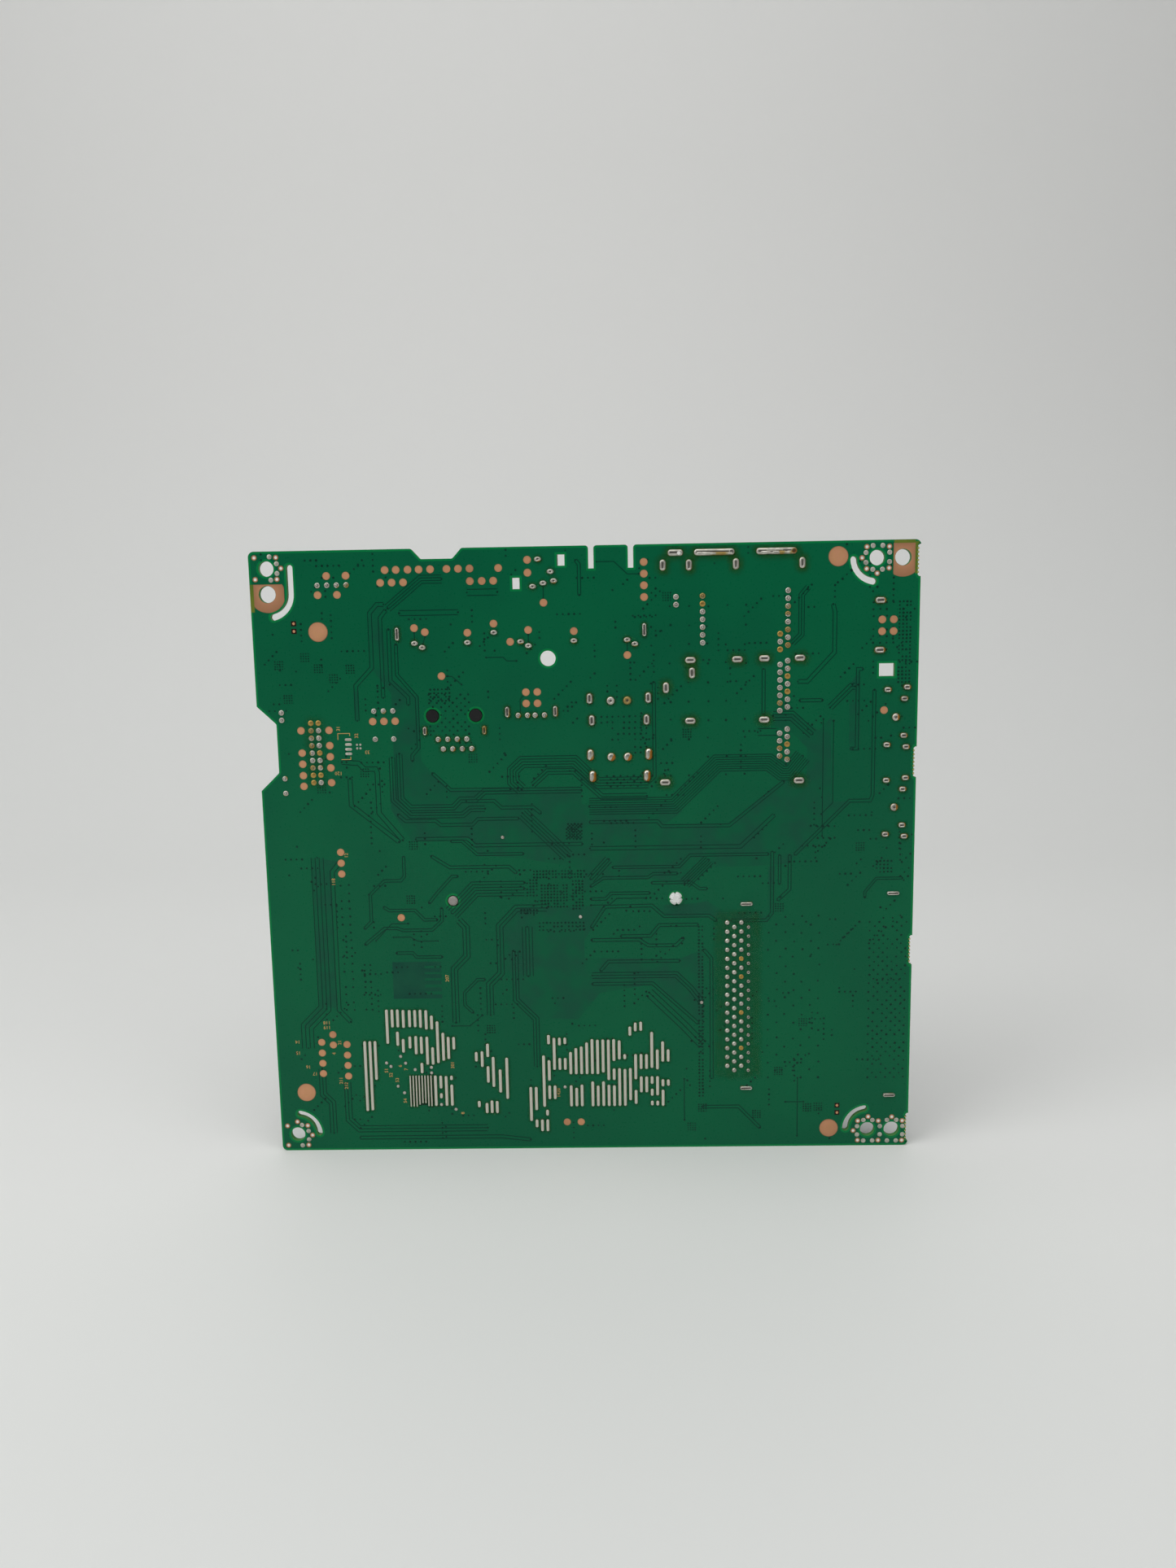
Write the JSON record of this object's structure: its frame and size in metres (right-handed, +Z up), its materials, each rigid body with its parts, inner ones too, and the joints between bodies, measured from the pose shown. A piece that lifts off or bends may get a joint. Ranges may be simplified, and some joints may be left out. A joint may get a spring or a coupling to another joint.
{
  "type": "tv main board",
  "caption": "Bare TV main board, upright: green masked laminate with solder joints and tinned strips on one side, sockets, tuner can, card slot and heat sink on the other.",
  "frame": {"origin": "middle of the four chassis screw holes, on the solder face", "axes": "+X along the lower edge to the right, +Y from the solder face through to the component side, +Z up, as the board stands"},
  "size_m": [0.1755, 0.0234, 0.1657],
  "materials": {
    "laminate": "satin solder mask",
    "tinning": "satin solder coat",
    "solder": "bright solder",
    "steel": "tin-plated sheet",
    "nickel": "bright plating",
    "gold": "gold flash",
    "black_plastic": "moulded",
    "ivory_plastic": "moulded",
    "white_plastic": "moulded",
    "green_plastic": "moulded",
    "blue_plastic": "moulded",
    "red_plastic": "moulded",
    "grey_plastic": "moulded",
    "clear_lens": "clear lens",
    "chip_resin": "moulded resin",
    "ferrite": "moulded ferrite",
    "fin_metal": "extruded",
    "pad": "soft pad"
  },
  "bodies": {
    "root": {"circuit_board": "laminate", "tinned_strips": "tinning", "solder_header_pins": "solder", "solder_av_jacks": "solder", "solder_lan_data": "solder", "solder_video_rear": "solder", "solder_tuner_tabs": "solder", "solder_tuner_pins": "solder", "solder_side_ports": "solder", "solder_card_slot": "solder", "tuner_frame": "steel", "tuner_lid": "steel", "tuner_inner_board": "laminate", "antenna_socket": "nickel", "satellite_socket": "nickel", "rf_insulators": "white_plastic", "av_housing": "black_plastic", "av_shells": "nickel", "av_insert_green": "green_plastic", "av_insert_blue": "blue_plastic", "av_inserts_red": "red_plastic", "av_insert_white": "white_plastic", "phone_jack_body": "black_plastic", "phone_jack_bush": "nickel", "optical_jack_body": "black_plastic", "optical_jack_emitter": "clear_lens", "lan_shield": "steel", "lan_housing": "black_plastic", "lan_contacts": "gold", "data_rear_shell": "steel", "data_rear_tongue": "black_plastic", "video_rear_upper_shell": "steel", "video_rear_upper_tongue": "black_plastic", "video_rear_lower_shell": "steel", "video_rear_lower_tongue": "black_plastic", "data_side_shell": "steel", "data_side_tongue": "black_plastic", "video_side_upper_shell": "steel", "video_side_upper_tongue": "black_plastic", "video_side_lower_shell": "steel", "video_side_lower_tongue": "black_plastic", "card_slot_cage": "steel", "card_slot_header": "black_plastic", "card_slot_pins": "gold", "power_header_shroud": "ivory_plastic", "power_header_pins": "gold", "speaker_header_shroud": "ivory_plastic", "speaker_header_pins": "gold", "processor": "chip_resin", "thermal_pad": "pad", "heat_sink": "fin_metal", "push_pin_left": "grey_plastic", "push_pin_right": "white_plastic", "memory_chips": "chip_resin", "regulator_chips": "chip_resin", "power_coils": "ferrite", "panel_connector_housings": "ivory_plastic", "panel_connector_shields": "steel"}
  },
  "joints": []
}
